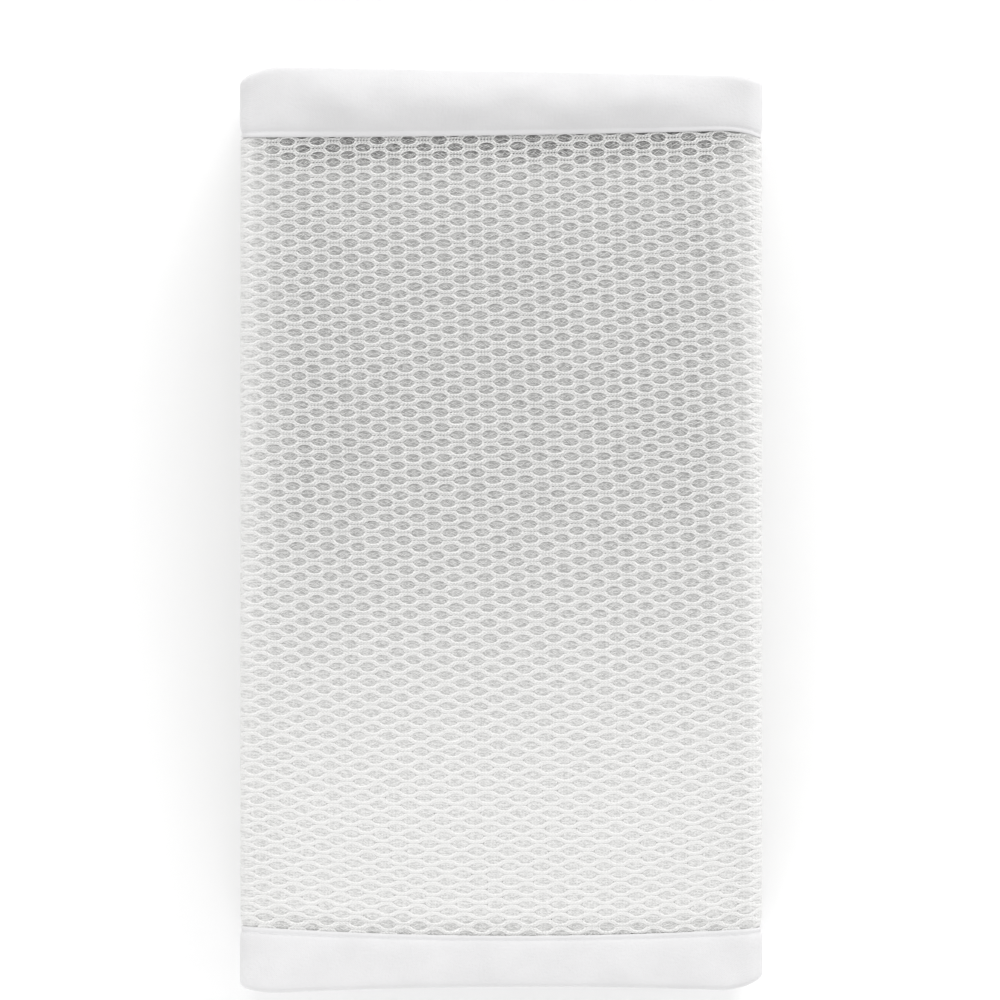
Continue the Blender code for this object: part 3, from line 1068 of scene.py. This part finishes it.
def binding_material():
    """A smooth brushed knit with a soft nap."""
    material, tree, shader = new_material("binding_cloth", roughness=0.75, sheen=0.25)
    place, along, across = cloth_place(tree)
    nap = noise(tree, place, NAP_SIZE, NAP_DETAIL)
    ribs = wave(tree, along, RIB_PITCH)
    courses = wave(tree, across, COURSE_PITCH)
    knit = math_node(tree, "MULTIPLY", ribs, courses)
    height = math_node(tree, "MULTIPLY_ADD", knit, BINDING_KNIT, nap)
    add_bump(tree, shader, height, BINDING_BUMP)
    cloudy = remap(tree, noise(tree, place, CLOUD_SIZE, CLOUD_DETAIL), *CLOUDS)
    color = blend(tree, cloudy, BINDING_DARK, BINDING_LIGHT, BINDING_TINT)
    tree.links.new(color, shader.inputs["Base Color"])
    return material


# --- The stage -----------------------------------------------------------------------

CAMERA_DISTANCE = 2.0
VIEW_WIDTH = 0.305  # what the frame takes in at the height of the top pass
TOP_PASS_HEIGHT = 0.0745
VIEW_CENTRE = (-0.0003, 0.0091)
SENSOR = 36.0
NEAREST, FURTHEST = 0.05, 20.0
FLOOR_HALF_WIDTH = 3.0
FLOOR_HEIGHT = -0.00005

Light = namedtuple("Light", "name location size power")
LIGHTS = (
    Light(name="key", location=(0.50, 2.60, 1.60), size=2.2, power=59.0),
    Light(name="fill", location=(-0.10, -0.55, 0.50), size=0.5, power=1.6),
    Light(name="right", location=(1.30, 0.10, 0.40), size=0.8, power=4.6),
    Light(name="left", location=(-1.30, 0.10, 0.40), size=0.8, power=3.2),
)
LIT_PLACE = (0.0, 0.0, 0.05)
WORLD_STRENGTH = 0.62


def aim(item, target):
    direction = Vector(target) - item.location
    item.rotation_euler = direction.to_track_quat("-Z", "Y").to_euler()


def make_floor():
    signs = ((-1, -1), (1, -1), (1, 1), (-1, 1))
    corners = [(x * FLOOR_HALF_WIDTH, y * FLOOR_HALF_WIDTH, FLOOR_HEIGHT) for x, y in signs]
    data = bpy.data.meshes.new("floor")
    data.from_pydata(corners, [], [(0, 1, 2, 3)])
    floor = bpy.data.objects.new("floor", data)
    bpy.context.scene.collection.objects.link(floor)
    data.materials.append(plain_material(*FLOOR_PAINT))


def make_camera():
    data = bpy.data.cameras.new("camera")
    data.sensor_width = SENSOR
    data.lens = SENSOR * CAMERA_DISTANCE / VIEW_WIDTH
    data.clip_start = NEAREST
    data.clip_end = FURTHEST
    camera = bpy.data.objects.new("camera", data)
    camera.location = (*VIEW_CENTRE, TOP_PASS_HEIGHT + CAMERA_DISTANCE)
    bpy.context.scene.collection.objects.link(camera)
    bpy.context.scene.camera = camera


def make_light(name, location, size, power):
    data = bpy.data.lights.new(name, "AREA")
    data.shape = "SQUARE"
    data.size = size
    data.energy = power
    light = bpy.data.objects.new(name, data)
    light.location = location
    aim(light, LIT_PLACE)
    bpy.context.scene.collection.objects.link(light)


def make_world():
    world = bpy.data.worlds.new("studio")
    world.use_nodes = True
    background = world.node_tree.nodes["Background"]
    background.inputs["Color"].default_value = (1.0, 1.0, 1.0, 1.0)
    background.inputs["Strength"].default_value = WORLD_STRENGTH
    bpy.context.scene.world = world
    bpy.context.scene.view_settings.view_transform = "Standard"


def main():
    back = make_back()
    back.data.materials.append(back_material())
    nets = make_nets()
    yarn = net_material()
    for net in nets:
        net.data.materials.append(yarn)
    spacers = make_spacers()
    spacers.data.materials.append(plain_material(*SPACER_YARN))
    cloth = binding_material()
    thread = plain_material(*SEWING_THREAD)
    for name, side in (("binding_top", 1), ("binding_bottom", -1)):
        piece = make_binding(name, side)
        piece.data.materials.append(cloth)
        stitches = make_stitches(name + "_stitches", side)
        stitches.data.materials.append(thread)
    make_floor()
    make_camera()
    for light in LIGHTS:
        make_light(*light)
    make_world()


main()
